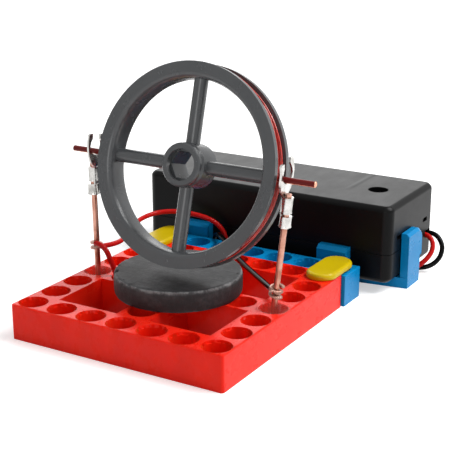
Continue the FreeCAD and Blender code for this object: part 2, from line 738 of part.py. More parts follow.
# Outer layer of the winding: one wire that winds beside the stubs and crosses between them
def biarc(start, start_along, end, end_along):
    """Two tangent arcs between two points with given directions."""
    span = end - start
    both = start_along + end_along
    a = 2 * (start_along.dot(end_along) - 1)
    b = -2 * span.dot(both)
    c = span.dot(span)
    if abs(a) < 1e-9:
        reach = -c / b
    else:
        reach = (-b - math.sqrt(b * b - 4 * a * c)) / (2 * a)
    first, last = start + start_along * reach, end - end_along * reach
    joint = (first + last) / 2
    edges = []
    for corner, p, q in ((first, start, joint), (last, joint, end)):
        inward = (p - corner).normalize() + (q - corner).normalize()
        inward.normalize()
        half_angle = (p - corner).getAngle(q - corner) / 2
        radius = reach * math.tan(half_angle)
        middle = corner + inward * (radius / math.sin(half_angle) - radius)
        edges.append(Part.Arc(p, middle, q).toShape())
    return edges


def wound_wire(rise, turns, radius, pieces=4):
    """A wire on a round drum; rise gives its place along the axis for a number of turns."""
    edges = []
    step = 1.0 / pieces

    def point(turned):
        angle = 2 * math.pi * turned
        return V(radius * math.cos(angle), radius * math.sin(angle), rise(turned))

    def along(turned):
        angle = 2 * math.pi * turned
        tiny = 1e-5
        slope = (rise(turned + tiny) - rise(turned - tiny)) / (2 * tiny)
        way = V(-2 * math.pi * radius * math.sin(angle), 2 * math.pi * radius * math.cos(angle), slope)
        return way.normalize()

    for number in range(round(turns * pieces)):
        here, there = number * step, (number + 1) * step
        edges += biarc(point(here), along(here), point(there), along(there))
    return Part.Wire(edges)


def least_self_gap(wire, diameter, apart):
    """The least gap between stretches of a wound wire that lie further than apart along it."""
    points = wire.discretize(Number=gap_samples)
    step = wire.Length / (gap_samples - 1)
    skip = int(apart / step) + 1
    least = wire.Length
    for first in range(gap_samples):
        for second in range(first + skip, gap_samples):
            least = min(least, (points[first] - points[second]).Length)
    return least - diameter


def smooth(share):
    """A gentle step from 0 to 1."""
    return share * share * (3 - 2 * share)


def make_coil_winding():
    wire = winding_wire.value
    radius = core_radius.value + wire / 2 + fit_gap.value
    outer = groove_half.value - wire / 2 - shaft_gap.value
    beside = axle_diameter.value / 2 + wire / 2 + shaft_gap.value

    def rise(turned):
        crossed = turned - 1
        if crossed <= 0:
            return outer - (outer - beside) * turned
        if crossed <= 1 / 2:
            return beside - 2 * beside * smooth(crossed * 2)
        return -beside - (outer - beside) * (crossed - 1 / 2)

    path = wound_wire(rise, winding_turns, radius)
    print("winding self gap %.2f" % least_self_gap(path, wire, radius))
    winding = add_shape("coil_winding", tube(path, wire, wire_sides, winding_step))
    winding.Placement = wheel_placement()


# Axle stubs: thick copper wire, red enamel left on one side, pressed into rim and spokes
def make_axle_stub(label, side, end):
    body = new_body(label)
    section = new_sketch(body, "section", "YZ_Plane")
    circle(section, 0, 0, axle_diameter / 2)
    inner = wheel_shift * side + rim_face_radius - stub_in_spoke
    pad(body, section, end - inner, reverse=side < 0)
    soften(body, "Chamfer", axle_diameter / 12, lambda point, along: abs(point.x) > 1)
    place(body, inner * side, 0, axle_height)


# Disc magnet: a thick ferrite disc with chamfered edges, lying on the plate's crossing bars
def make_magnet():
    body = new_body("magnet_disc")
    disc = new_sketch(body, "disc")
    circle(disc, 0, 0, magnet_diameter / 2)
    pad(body, disc, magnet_height)
    soften(body, "Chamfer", magnet_edge, lambda point, along: True)
    place(body, magnet_shift_x, magnet_shift_y, plate_height)


# Battery case: the lower shell, with cell saddles, a partition, a screw boss and the lead outlet
def make_battery_case():
    body = new_body("battery_case")
    block = new_sketch(body, "block", offset=floor_height)
    rectangle(block, box_left, box_right, box_front, box_back)
    pad(body, block, case_height)
    soften(body, "Fillet", box_corner, lambda point, along: abs(along.z) > 0.9)
    soften(body, "Chamfer", box_edge, lambda point, along: near(point.z, floor_height))
    hollow(body, parting, box_wall + floor_height)
    ribs = new_sketch(body, "saddles", offset=floor_height + box_wall)
    for inset in (saddle_inset, bay_length - saddle_inset - saddle_thickness):
        x = box_left + box_wall + inset
        rectangle(ribs, x, x + saddle_thickness, box_front + box_wall, box_back - box_wall)
    pad(body, ribs, saddle_height)
    rest = new_sketch(body, "cell_rest", "YZ_Plane", box_left + box_wall)
    for side in (-1, 1):
        circle(rest, box_middle_y + cell_spacing / 2 * side, cell_height, cell_diameter / 2 + seat_gap)
    cut(body, rest, bay_length, reverse=True)
    wall = new_sketch(body, "partition", offset=floor_height + box_wall)
    rectangle(wall, partition_x, partition_x + partition_wall, box_front + box_wall, box_back - box_wall)
    pad(body, wall, partition_height)
    boss = new_sketch(body, "boss", offset=floor_height + box_wall)
    circle(boss, screw_x, screw_y, recess_diameter / 2 + post_wall)
    pad(body, boss, boss_height)
    pilot = new_sketch(body, "pilot", offset=floor_height + box_wall + boss_height)
    circle(pilot, screw_x, screw_y, post_wall)
    cut(body, pilot, boss_height - sheet_thickness)
    notch = new_sketch(body, "notch", "YZ_Plane", box_right)
    middle = box_front + notch_place
    rectangle(notch, middle - notch_width / 2, middle + notch_width / 2, parting - notch_height, parting)
    cut(body, notch, box_wall * 2)


def hollow(body, start, end):
    """The shell's inside: a rounded pocket from the parting to the far wall."""
    inside = new_sketch(body, "inside", offset=start)
    inset = box_wall
    corner = box_corner - box_wall
    left, right = box_left + inset, box_right - inset
    front, back = box_front + inset, box_back - inset
    outline(inside, [
        (left + corner, front), (right - corner, front), (right, front + corner),
        (right, back - corner), (right - corner, back), (left + corner, back),
        (left, back - corner), (left, front + corner),
    ])
    if end.value < start.value:
        cut(body, inside, start - end)
    else:
        cut(body, inside, end - start, reverse=True)


# Battery cover: the upper shell, with a screw post under a deep round recess and two latch slots
def make_battery_cover():
    body = new_body("battery_cover")
    block = new_sketch(body, "block", offset=parting)
    rectangle(block, box_left, box_right, box_front, box_back)
    pad(body, block, box_top - parting)
    soften(body, "Fillet", box_corner, lambda point, along: abs(along.z) > 0.9)
    soften(body, "Chamfer", box_edge, lambda point, along: near(point.z, box_top))
    hollow(body, parting, box_top - box_wall)
    post = new_sketch(body, "post", offset=parting)
    circle(post, screw_x, screw_y, recess_diameter / 2 + post_wall)
    pad(body, post, box_top - box_wall - parting)
    recess = new_sketch(body, "recess", offset=box_top)
    circle(recess, screw_x, screw_y, recess_diameter / 2)
    cut(body, recess, box_top - parting - recess_floor)
    hole = new_sketch(body, "screw_hole", offset=parting + recess_floor)
    circle(hole, screw_x, screw_y, post_wall)
    cut(body, hole, recess_floor)
    slots = new_sketch(body, "latch_slots", "YZ_Plane", box_right)
    low = parting + latch_rise
    for middle in (box_front + latch_inset + latch_width / 2, box_back - latch_inset - latch_width / 2):
        rectangle(slots, middle - latch_width / 2, middle + latch_width / 2, low, low + latch_height)
    cut(body, slots, latch_depth)


# Cover screw: a pan head in the recess and a shank that reaches into the boss
def make_cover_screw():
    body = new_body("cover_screw")
    head = new_sketch(body, "head")
    circle(head, 0, 0, recess_diameter / 2 - fit_gap * 4)
    pad(body, head, post_wall)
    soften(body, "Chamfer", post_wall / 3, lambda point, along: near(point.z, post_wall))
    shank = new_sketch(body, "shank")
    circle(shank, 0, 0, post_wall - fit_gap)
    pad(body, shank, recess_floor + boss_height / 2, reverse=True)
    place(body, screw_x, screw_y, parting + recess_floor)


# Cells: two cylinders that lie side by side with their nubs at opposite ends
def make_cell(label, side):
    body = new_body(label)
    length = cell_can + nub_length
    profile = new_sketch(body, "profile", "XZ_Plane")
    outer = cell_diameter / 2
    outline(profile, [
        (0, 0), (outer, 0), (outer, cell_can), (nub_diameter / 2, cell_can),
        (nub_diameter / 2, length), (0, length),
    ])
    turn(body, profile)
    body.Placement.Rotation = FreeCAD.Rotation(V(0, 1, 0), 90 * -side)
    positive = box_left + box_wall + sheet_thickness + length
    negative = box_left + box_wall + bay_length - sheet_thickness - length
    x = positive if side > 0 else negative
    place(body, x, box_middle_y + cell_spacing / 2 * side, cell_height)


# Contacts: a bridge plate at the left end, and one plate for each lead at the partition
def make_contact_plate(label, x, low_y, high_y):
    body = new_body(label)
    plate = new_sketch(body, "plate")
    rectangle(plate, 0, sheet_thickness, low_y, high_y)
    pad(body, plate, contact_height)
    place(body, x, 0, cell_height - contact_height / 2)


# Contact springs: two turns of wire between each cell's flat end and its plate
def make_contact_spring(label, side):
    wire = spring_wire.value
    room = bay_length.value - 2 * sheet_thickness.value - cell_can.value - nub_length.value
    travel = room - wire - 2 * shaft_gap.value
    radius = (spring_diameter.value - wire) / 2
    path = wound_wire(lambda turned: travel * turned / spring_turns, spring_turns, radius)
    print("spring self gap %.2f" % least_self_gap(path, wire, radius))
    spring = add_shape(label, tube(path, wire, wire_sides, coil_step))
    x = box_left + box_wall + sheet_thickness + wire / 2 + shaft_gap
    if side > 0:
        x = box_left + box_wall + bay_length - sheet_thickness - travel - wire / 2 - shaft_gap
    y = box_middle_y + cell_spacing / 2 * side
    turned = FreeCAD.Rotation(V(0, 1, 0), 90)
    spring.Placement = FreeCAD.Placement(V(x.value, y.value, cell_height.value), turned)


# Leads: each leaves the box, runs under it, comes up before it and ends bare on its post
end_x, end_y = box_right.value, box_back.value
black_route = [
    V(end_x - 3.0, end_y - 3.1, 11.6), V(end_x + 0.2, end_y - 3.1, 11.6),
    V(end_x + 3.4, end_y - 3.4, 10.9), V(end_x + 5.8, end_y - 4.8, 8.0),
    V(end_x + 5.8, end_y - 7.2, 4.6), V(end_x + 3.2, end_y - 9.4, 1.9),
    V(end_x - 2.0, end_y - 10.6, 0.9), V(end_x - 13.0, end_y - 11.6, 0.9),
    V(16.0, 75.4, 0.9), V(2.0, 73.8, 0.9), V(-11.0, 73.0, 0.9), V(-19.0, 69.8, 0.9),
    V(-20.8, 62.0, 0.9), V(-20.2, 53.4, 0.9), V(-19.0, 48.6, 2.8), V(-18.2, 47.5, 7.0),
    V(-17.0, 46.4, 10.9), V(-13.6, 43.2, 12.5), V(-7.0, 37.6, 11.8), V(1.0, 29.4, 11.4),
    V(10.6, 21.0, 11.4),
]
red_route = [
    V(end_x - 3.0, end_y - 5.5, 11.6), V(end_x + 0.2, end_y - 5.5, 11.6),
    V(end_x + 2.8, end_y - 6.4, 10.0), V(end_x + 3.6, end_y - 8.4, 7.0),
    V(end_x + 2.2, end_y - 11.2, 4.2), V(end_x - 0.6, end_y - 13.4, 1.9),
    V(end_x - 5.6, end_y - 14.4, 0.9), V(end_x - 15.0, end_y - 15.0, 0.9),
    V(15.0, 71.6, 0.9), V(2.0, 70.4, 0.9), V(-8.0, 70.6, 0.9), V(-14.0, 67.6, 0.9),
    V(-15.6, 60.0, 0.9), V(-14.8, 52.6, 0.9), V(-13.8, 48.6, 3.0), V(-13.4, 47.6, 7.6),
    V(-14.2, 47.5, 12.2), V(-18.0, 46.6, 15.8), V(-24.4, 44.6, 17.4), V(-31.4, 43.4, 17.6),
    V(-36.2, 39.0, 17.3), V(-37.2, 31.0, 16.8), V(-33.6, 20.0, 16.4), V(-29.4, 10.6, 15.9),
]
red_tail_route = [V(-25.2, -2.0, 18.4), V(-24.2, -1.6, 15.4), V(-23.0, -1.1, 12.2), V(-22.6, -0.3, 8.8)]
wrap_gap = size("wrap_gap", 0.15, "strands over a post")
right_wrap = (2, size("right_wrap_start", 4.3, "bend of the right post to its strands"))
left_wrap = (1.25, size("left_wrap_start", 8.0, "bend of the left post to its strands"))
bare_share = 0.25


def wrap_path(side, last_point, way, wrap, exit_length):
    """Strands that come off a lead straight and wind round a post."""
    turns, start_rise = wrap[0], wrap[1].value
    bend, along = post_line(side)
    turned = FreeCAD.Rotation(V(0, 0, 1), along)
    frame = FreeCAD.Placement(bend, turned)
    local = frame.inverse().multVec(last_point)
    radius = (rod_diameter.value + strand_diameter.value) / 2 + wrap_gap.value
    distance = math.hypot(local.x, local.y)
    plan = math.sqrt(distance * distance - radius * radius)
    facing = math.atan2(local.y, local.x)
    angle = facing + way * math.acos(radius / distance)
    slope = (start_rise - local.z) / plan
    rise = 2 * math.pi * radius * slope
    pieces = round(turns * 4)
    edges = []

    def point(quarter):
        at = angle + way * quarter * math.pi / 2
        return V(radius * math.cos(at), radius * math.sin(at), start_rise + rise * quarter / 4)

    def heading(quarter):
        at = angle + way * quarter * math.pi / 2
        return V(-way * math.sin(at), way * math.cos(at), slope).normalize()

    begin = point(0)
    end_of_lead = begin - heading(0) * (plan * bare_share)
    edges.append(Part.LineSegment(end_of_lead, begin).toShape())
    for quarter in range(pieces):
        edges += biarc(point(quarter), heading(quarter), point(quarter + 1), heading(quarter + 1))
    finish = point(pieces)
    edges.append(Part.LineSegment(finish, finish + heading(pieces) * exit_length).toShape())
    bare = frame.multVec(end_of_lead)
    final = frame.multVec(finish + heading(pieces) * exit_length)
    wire = Part.Wire(edges)
    wire.Placement = frame
    return wire, bare, final, turned.multVec(heading(pieces)), rise


def make_leads():
    diameter = lead_diameter.value
    strand = strand_diameter.value
    wire, bare, final, heading, rise = wrap_path(1, black_route[-1], -1, right_wrap, strand)
    print("right wrap climbs %.2f a turn, lead ends at" % rise, bare)
    add_shape("strand_wrap_right", tube(wire, strand, wire_sides, coil_step))
    path = path_wire(black_route + [bare], label="black_lead")
    print("black lead length %.0f" % path.Length)
    add_shape("black_lead", tube(path, diameter, lead_sides, bend_step))
    wire, bare, final, heading, rise = wrap_path(-1, red_route[-1], 1, left_wrap, strand)
    print("left wrap climbs %.2f a turn, lead ends at" % rise, bare, "tail starts at", final, heading)
    add_shape("strand_wrap_left", tube(wire, strand, wire_sides, coil_step))
    path = path_wire(red_route + [bare], label="red_lead")
    print("red lead length %.0f" % path.Length)
    add_shape("red_lead", tube(path, diameter, lead_sides, bend_step))
    tail = [final, final + heading * diameter] + red_tail_route
    path = path_wire(tail, label="red_lead_tail")
    print("red tail length %.0f" % path.Length)
    add_shape("red_lead_tail", tube(path, diameter, lead_sides, bend_step))


make_base_plate()
make_bracket()
for name, side in (("left", -1), ("right", 1)):
    make_locking_pin("locking_pin_" + name, side)
    make_post_plug("post_plug_" + name, side)
    make_post_rod("post_rod_" + name, side)
    make_fork_terminal("fork_terminal_" + name, side)
make_wheel()
make_coil_core()
make_coil_winding()
make_axle_stub("axle_stub_left", -1, stub_left_end)
make_axle_stub("axle_stub_right", 1, stub_right_end)
make_magnet()
make_battery_case()
make_battery_cover()
make_cover_screw()
make_cell("aa_cell_1", -1)
make_cell("aa_cell_2", 1)
half_contact = contact_width / 2
bay_end = box_left + box_wall + bay_length - sheet_thickness
make_contact_plate("contact_bridge", box_left + box_wall,
                   box_middle_y - cell_spacing / 2 - half_contact,
                   box_middle_y + cell_spacing / 2 + half_contact)
for name, side in (("contact_positive", -1), ("contact_negative", 1)):
    middle = box_middle_y + cell_spacing / 2 * side
    make_contact_plate(name, bay_end, middle - half_contact, middle + half_contact)
make_contact_spring("contact_spring_1", -1)
make_contact_spring("contact_spring_2", 1)
make_leads()
doc.recompute()

for thing in doc.Objects:
    if "Invalid" in thing.State or "Error" in thing.State:
        raise ValueError("%s did not build: %s" % (thing.Label, thing.State))
for node in nodes:
    if node.Shape.isNull() or not node.Shape.isValid():
        raise ValueError(node.Label + " has no valid shape")

os.makedirs("parts", exist_ok=True)
for node in nodes:
    node.Shape.exportStep("parts/%s.step" % node.Label)
    box = node.Shape.BoundBox
    print("%-20s %d solid  x %.2f %.2f  y %.2f %.2f  z %.2f %.2f" % (
        node.Label, len(node.Shape.Solids), box.XMin, box.XMax, box.YMin, box.YMax, box.ZMin, box.ZMax))
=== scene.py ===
import math
import random

import bmesh
import bpy
from mathutils import Matrix, Quaternion, Vector, noise


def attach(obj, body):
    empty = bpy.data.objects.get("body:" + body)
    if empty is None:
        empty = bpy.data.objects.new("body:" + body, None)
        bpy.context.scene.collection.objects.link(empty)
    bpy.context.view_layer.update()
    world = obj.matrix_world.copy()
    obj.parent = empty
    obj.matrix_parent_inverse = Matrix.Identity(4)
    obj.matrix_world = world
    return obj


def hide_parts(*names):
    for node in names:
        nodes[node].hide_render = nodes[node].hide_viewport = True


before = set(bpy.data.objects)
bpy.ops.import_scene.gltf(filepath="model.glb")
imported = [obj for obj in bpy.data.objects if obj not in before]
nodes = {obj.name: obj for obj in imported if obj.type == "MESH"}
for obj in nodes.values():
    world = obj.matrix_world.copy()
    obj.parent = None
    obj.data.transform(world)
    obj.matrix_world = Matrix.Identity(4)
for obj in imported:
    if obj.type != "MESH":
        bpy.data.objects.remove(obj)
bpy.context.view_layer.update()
scene = bpy.context.scene


# Studio
# The motor stands on a white sheet under a large soft lamp above its right side, with weaker ones
# in front and behind. The camera stands before the front right corner of the red base.
camera_place = Vector((0.16912, -0.25810, 0.12757))
camera_forward = Vector((-0.4898, 0.8175, -0.3028))
camera_roll = -0.0016
camera_lens = 91.4
sky_light = 0.27
sheet_half = 3.0
sheet_glow = 0.5


def make_camera():
    data = bpy.data.cameras.new("camera")
    data.lens = camera_lens
    data.sensor_width = 36
    data.clip_start = 0.01
    data.clip_end = 20
    camera = bpy.data.objects.new("camera", data)
    scene.collection.objects.link(camera)
    camera.location = camera_place
    turn = camera_forward.to_track_quat("-Z", "Y")
    roll = Quaternion((0, 0, 1), camera_roll)
    camera.rotation_mode = "QUATERNION"
    camera.rotation_quaternion = turn @ roll
    scene.camera = camera


def make_lamp(name, place, aim, size, watts):
    data = bpy.data.lights.new(name, "AREA")
    data.shape = "RECTANGLE"
    data.size, data.size_y = size
    data.energy = watts
    lamp = bpy.data.objects.new(name, data)
    scene.collection.objects.link(lamp)
    lamp.location = place
    lamp.rotation_mode = "QUATERNION"
    lamp.rotation_quaternion = (Vector(aim) - Vector(place)).to_track_quat("-Z", "Y")


class Tone:
    """A number that changes over a surface; sums on it add maths nodes to its shader."""

    def __init__(self, shader, socket):
        self.shader = shader
        self.socket = socket

    def maths(self, operation, first, second):
        return self.shader.node("Math", {"operation": operation}, {0: first, 1: second})

    def __add__(self, other):
        return self.maths("ADD", self, other)

    def __sub__(self, other):
        return self.maths("SUBTRACT", self, other)

    def __rsub__(self, other):
        return self.maths("SUBTRACT", other, self)

    def __mul__(self, other):
        return self.maths("MULTIPLY", self, other)

    def __pow__(self, other):
        return self.maths("POWER", self, other)

    def __gt__(self, other):
        return self.maths("GREATER_THAN", self, other)

    def __abs__(self):
        return self.maths("ABSOLUTE", self, 0)

    __radd__ = __add__
    __rmul__ = __mul__


class Shader:
    """The nodes of one material or of the world."""

    def __init__(self, holder, surface):
        holder.use_nodes = True
        self.tree = holder.node_tree
        self.surface = self.tree.nodes[surface]

    def node(self, kind, settings, inputs, output=0):
        """Any node: its type, its settings, then the values or links of its sockets."""
        node = self.tree.nodes.new("ShaderNode" + kind)
        for key, value in settings.items():
            if key == "stops":
                ramp = node.color_ramp.elements
                while len(ramp) < len(value):
                    ramp.new(0.5)
                for stop, (place, colour) in zip(ramp, value):
                    stop.position = place
                    stop.color = (*colour, 1)
            else:
                setattr(node, key, value)
        for key, value in inputs.items():
            self.feed(node.inputs[key], value)
        return Tone(self, node.outputs[output])

    def feed(self, socket, value):
        if isinstance(value, Tone):
            self.tree.links.new(value.socket, socket)
        else:
            socket.default_value = value

    def set(self, name, value):
        self.feed(self.surface.inputs[name], value)

    def seen(self):
        """One where the eye, a reflection or a clear piece looks at the background, else nothing."""
        camera, glossy, through = (self.node("LightPath", {}, {}, "Is %s Ray" % way)
                                   for way in ("Camera", "Glossy", "Transmission"))
        return camera + glossy + through


class Finish(Shader):
    """One procedural material: its surface shader and the nodes that feed it."""

    def __init__(self, name, colour, roughness, **fixed):
        self.material = bpy.data.materials.new(name)
        super().__init__(self.material, "Principled BSDF")
        self.set("Base Color", (*colour, 1))
        self.set("Roughness", roughness)
        for key, value in fixed.items():
            self.set(key.replace("_", " "), value)
        self.place = self.node("TexCoord", {}, {}, "Object")

    def stretched(self, x, y, z):
        """The place on the piece, with each direction counted in its own scale."""
        return self.node("Mapping", {}, {"Vector": self.place, "Scale": (x, y, z)})

    def noise(self, scale, detail=3.0, rough=0.55, place=None):
        inputs = {"Vector": place or self.place, "Scale": scale, "Detail": detail, "Roughness": rough}
        return self.node("TexNoise", {}, inputs)

    def ramp(self, tone, *stops):
        """A colour or grey that follows a tone through the given stops."""
        return self.node("ValToRGB", {"stops": stops}, {0: tone})

    def blend(self, share, first, second):
        """A colour between two others."""
        inputs = {0: share}
        for key, value in ((6, first), (7, second)):
            inputs[key] = value if isinstance(value, Tone) else (*value, 1)
        return self.node("Mix", {"data_type": "RGBA"}, inputs, 2)

    def bump(self, height, strength, distance):
        inputs = {"Height": height, "Strength": strength, "Distance": distance}
        self.set("Normal", self.node("Bump", {}, inputs))

    def axis(self, letter):
        """The place along one axis, in metres."""
        return self.node("SeparateXYZ", {}, {0: self.place}, "XYZ".index(letter))


def make_floor():
    mesh = bpy.data.meshes.new("floor")
    corners = [(x * sheet_half, y * sheet_half, 0) for x, y in ((-1, -1), (1, -1), (1, 1), (-1, 1))]
    mesh.from_pydata(corners, [], [(0, 1, 2, 3)])
    floor = bpy.data.objects.new("floor", mesh)
    scene.collection.objects.link(floor)
    paper = Finish("white_sheet", (0.8, 0.8, 0.8), 0.9, Specular_IOR_Level=0.1,
                   Emission_Strength=sheet_glow)
    paper.set("Emission Color", paper.seen())
    mesh.materials.append(paper.material)


def make_world():
    world = bpy.data.worlds.new("studio")
    scene.world = world
    sky = Shader(world, "Background")
    sky.set("Strength", 1)
    sky.set("Color", sky.seen() * (1 - sky_light) + sky_light)


scene.view_settings.view_transform = "Standard"
make_camera()
make_world()
make_floor()
make_lamp("top_lamp", (0.5, 0.3, 0.8), (0, 0.02, 0.02), (0.6, 0.6), 12)
make_lamp("front_lamp", (0.25, -0.9, 0.3), (0, 0, 0.03), (0.35, 0.3), 1.3)
make_lamp("back_lamp", (-0.75, 1.05, 0.5), (0, 0.03, 0.03), (0.9, 0.5), 2.5)


# Leads
# Two limp copper leads with vinyl insulation. They leave the box's right end, run under the box and
# come up before it to the posts. The red one goes on past its post as a short loose tail.
mm = 0.001
lead_diameter = 0.0016
black_route = [
    (40.0, 82.7, 11.6), (43.2, 82.7, 11.6), (46.4, 82.4, 10.9), (48.8, 81.0, 8.0),
    (48.8, 78.6, 4.6), (46.2, 76.4, 1.9), (41.0, 75.2, 0.9), (30.0, 74.2, 0.9),
    (16.0, 75.4, 0.9), (2.0, 73.8, 0.9), (-11.0, 73.0, 0.9), (-19.0, 69.8, 0.9),
    (-20.8, 62.0, 0.9), (-20.2, 53.4, 0.9), (-19.0, 48.6, 2.8), (-18.2, 47.5, 7.0),
    (-17.0, 46.4, 10.9), (-13.6, 43.2, 12.5), (-7.0, 37.6, 11.8), (1.0, 29.4, 11.4),
    (10.6, 21.0, 11.4), (26.37, 5.96, 13.17),
]
red_route = [
    (40.0, 80.3, 11.6), (43.2, 80.3, 11.6), (45.8, 79.4, 10.0), (46.6, 77.4, 7.0),
    (45.2, 74.6, 4.2), (42.4, 72.4, 1.9), (37.4, 71.4, 0.9), (28.0, 70.8, 0.9),
    (15.0, 71.6, 0.9), (2.0, 70.4, 0.9), (-8.0, 70.6, 0.9), (-14.0, 67.6, 0.9),
    (-15.6, 60.0, 0.9), (-14.8, 52.6, 0.9), (-13.8, 48.6, 3.0), (-13.4, 47.6, 7.6),
    (-14.2, 47.5, 12.2), (-18.0, 46.6, 15.8), (-24.4, 44.6, 17.4), (-31.4, 43.4, 17.6),
    (-36.2, 39.0, 17.3), (-37.2, 31.0, 16.8), (-33.6, 20.0, 16.4), (-29.4, 10.6, 15.9),
    (-31.03, 2.84, 17.16),
]
tail_route = [
    (-29.41, -1.64, 19.64), (-27.86, -1.96, 19.92), (-25.2, -2.0, 18.4), (-24.2, -1.6, 15.4),
    (-23.0, -1.1, 12.2), (-22.6, -0.3, 8.8),
]


def make_vinyl(name, colour):
    vinyl = Finish(name, colour, 0.24, Specular_IOR_Level=0.08)
    grain = vinyl.noise(900)
    vinyl.set("Roughness", grain * 0.1 + 0.06)
    vinyl.bump(grain, 0.15, 0.0002)
    return vinyl.material


def make_curve(name, routes, diameter, material):
    """A round wire along smooth lines, each through control points in metres."""
    data = bpy.data.curves.new(name, "CURVE")
    data.dimensions = "3D"
    data.resolution_u = 8
    data.bevel_depth = diameter / 2
    data.bevel_resolution = 4
    data.use_fill_caps = True
    for route in routes:
        line = data.splines.new("NURBS")
        line.points.add(len(route) - 1)
        for point, place in zip(line.points, route):
            point.co = (*place, 1)
        line.order_u = 3
        line.use_endpoint_u = True
    data.materials.append(material)
    wire = bpy.data.objects.new(name, data)
    scene.collection.objects.link(wire)
    return wire


def in_metres(route):
    return [tuple(length * mm for length in place) for place in route]


def make_lead(name, route, material):
    lead = make_curve(name, [in_metres(route)], lead_diameter, material)
    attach(lead, "stand")
    return lead


black_vinyl = make_vinyl("black_vinyl", (0.002, 0.002, 0.002))
red_vinyl = make_vinyl("red_vinyl", (0.48, 0.008, 0.007))
black_cord = make_lead("black_lead_wire", black_route, black_vinyl)
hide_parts("black_lead")
red_cord = make_lead("red_lead_wire", red_route, red_vinyl)
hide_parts("red_lead")
red_tail = make_lead("red_tail_wire", tail_route, red_vinyl)
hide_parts("red_lead_tail")


# Red base plate
# One thick moulding in glossy red polystyrene, with a grid of stepped holes at one pitch and four
# windows. It carries the posts, the magnet and, through the yellow pins, the blue bracket.
pitch = 10
hole_radius = 3.8
step_radius = 4.2
step_depth = 0.8
plate_top = 10.4


def make_moulded(name, colour, shade, roughness, detail=None, **fixed):
    """Satin plastic: faint mottling, fine moulding texture and a few soft scuffs."""
    plastic = Finish(name, colour, roughness, **fixed)
    cloud = plastic.noise(60, 4)
    mottle = plastic.ramp(cloud, (0.35, (0, 0, 0)), (0.75, (1, 1, 1)))
    plastic.set("Base Color", plastic.blend(mottle, colour, shade))
    grain = plastic.noise(2600, 2)
    scuff = plastic.noise(1, 4, 0.6, plastic.stretched(260, 120, 200))
    plastic.set("Roughness", scuff * 0.14 + (roughness - 0.07))
    height = grain * 0.03 + scuff * 0.02
    if detail:
        height = height + detail(plastic)
    plastic.bump(height, 0.4, 0.0004)
    return plastic.material


def dress(node, material):
    """A material on a CAD node."""
    data = nodes[node].data
    data.materials.clear()
    data.materials.append(material)


def slice_across(mesh, heights):
    """New edges where level planes cut a mesh."""
    for height in heights:
        everything = list(mesh.verts) + list(mesh.edges) + list(mesh.faces)
        bmesh.ops.bisect_plane(mesh, geom=everything, plane_co=(0, 0, height * mm), plane_no=(0, 0, 1))


def step_holes(mesh, top):
    """A fine step cut round the top of each hole of a grid."""
    ledge = top - step_depth
    slice_across(mesh, (ledge, ledge + 0.03))
    for vertex in mesh.verts:
        x, y, z = vertex.co / mm
        off_x, off_y = x - pitch * round(x / pitch), y - pitch * round(y / pitch)
        radius = math.hypot(off_x, off_y)
        if z > ledge + 0.02 and abs(radius - hole_radius) < 0.06:
            wider = step_radius / radius - 1
            vertex.co = Vector((x + off_x * wider, y + off_y * wider, z)) * mm


def softened(node, material, width, body, stepped_top=None, shape=None):
    """A copy of a piece with its moulded edges rounded; shape may work on its mesh first."""
    mesh = bmesh.new()
    mesh.from_mesh(nodes[node].data)
    bmesh.ops.remove_doubles(mesh, verts=mesh.verts, dist=1e-6)
    if stepped_top:
        step_holes(mesh, stepped_top)
    bmesh.ops.dissolve_limit(mesh, angle_limit=math.radians(1), verts=mesh.verts, edges=mesh.edges)
    if shape:
        shape(mesh)
    data = bpy.data.meshes.new(node + "_soft")
    mesh.to_mesh(data)
    mesh.free()
    data.materials.append(material)
    piece = bpy.data.objects.new(node + "_soft", data)
    scene.collection.objects.link(piece)
    rounding = piece.modifiers.new("rounding", "BEVEL")
    rounding.width = width * mm
    rounding.segments = 3
    rounding.limit_method = "ANGLE"
    rounding.angle_limit = math.radians(40)
    flat = piece.modifiers.new("flat_faces", "WEIGHTED_NORMAL")
    flat.keep_sharp = True
    for face in data.polygons:
        face.use_smooth = True
    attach(piece, body)
    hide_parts(node)


red_plastic = make_moulded("red_polystyrene", (0.85, 0.018, 0.005), (0.79, 0.012, 0.004), 0.28,
                           Specular_IOR_Level=0.12, Subsurface_Weight=0.4,
                           Subsurface_Radius=(1.0, 0.15, 0.08), Subsurface_Scale=0.004)
softened("base_plate", red_plastic, 0.18, "stand", stepped_top=plate_top)


# Blue bracket
# A sky blue polystyrene moulding of the same kit: a bar of holes behind the base, front tabs, an arm
# under the battery box and an upright at each of its ends. The yellow pins hold it to the base.
bracket_top = 9.8
blue_plastic = make_moulded("blue_polystyrene", (0.002, 0.22, 0.5), (0.001, 0.19, 0.45), 0.28,
                            Specular_IOR_Level=0.1)
softened("battery_bracket", blue_plastic, 0.18, "stand", stepped_top=bracket_top)


# Yellow pins
# Two yellow plastic mouldings with oblong heads. Each has two pegs, pressed into a red hole and a
# blue one, that lock the bracket to the base.
yellow_plastic = make_moulded("yellow_plastic", (0.56, 0.41, 0.001), (0.48, 0.35, 0.001), 0.3,
                              Specular_IOR_Level=0.2)
for side in ("left", "right"):
    softened("locking_pin_" + side, yellow_plastic, 0.45, "stand")


# Clear plugs
# Soft clear plastic plugs, pressed into the middle holes of the left and right sides. Each has a
# low dome with a hole that grips the foot of a post.
post_offset = 30
plug_bore = 0.95
plug_mouth = 1.6
stem_radius = 3.7
stem_length = 9.0
flange_radius = 4.9
flange_height = 0.8
flange_edge = 0.15


def add_piece(name, mesh, material, body, instead):
    """A finished bmesh as a piece that rides a body."""
    data = bpy.data.meshes.new(name)
    bmesh.ops.recalc_face_normals(mesh, faces=mesh.faces)
    mesh.to_mesh(data)
    mesh.free()
    data.materials.append(material)
    for face in data.polygons:
        face.use_smooth = True
    data.set_sharp_from_angle(angle=math.radians(40))
    piece = bpy.data.objects.new(name, data)
    scene.collection.objects.link(piece)
    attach(piece, body)
    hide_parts(instead)


